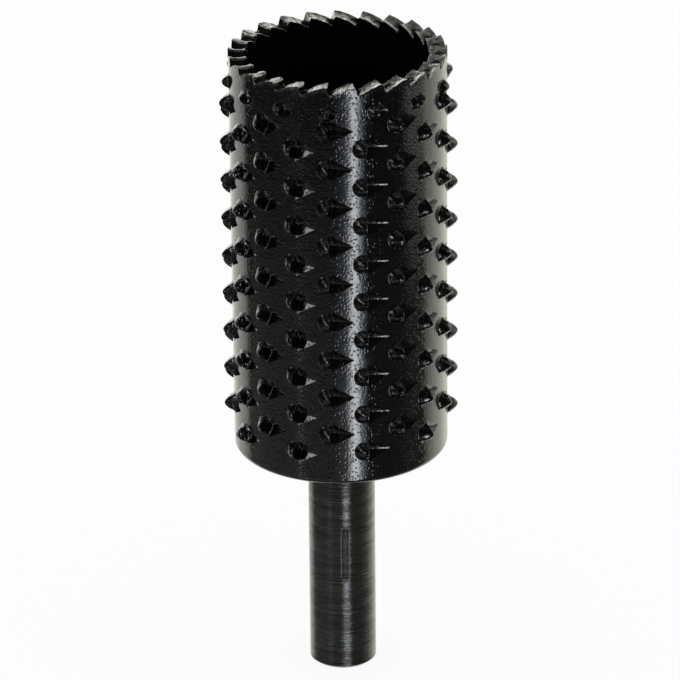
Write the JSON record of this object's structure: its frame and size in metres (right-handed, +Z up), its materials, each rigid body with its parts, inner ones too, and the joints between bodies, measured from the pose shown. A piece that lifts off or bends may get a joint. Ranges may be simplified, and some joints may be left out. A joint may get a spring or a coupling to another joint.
{
  "type": "rotary rasp",
  "caption": "Hollow cylindrical rotary rasp with staggered punched teeth, a saw-toothed open rim and a plain round shank for a drill chuck.",
  "frame": {"origin": "centre of the shank's free end", "axes": "+Z up the axis from the shank to the drum's open rim, -Y the side that the picture shows"},
  "size_m": [0.0278, 0.0278, 0.0787],
  "materials": {
    "black_lacquer": "gloss black lacquer with a fine orange peel",
    "blackened_steel": "blackened turned steel, fine rings, glossy",
    "plain_steel": "plain steel, satin"
  },
  "bodies": {
    "root": {"rasp_drum": "black_lacquer", "shank": "blackened_steel", "rivet_washer": "plain_steel"}
  },
  "joints": []
}
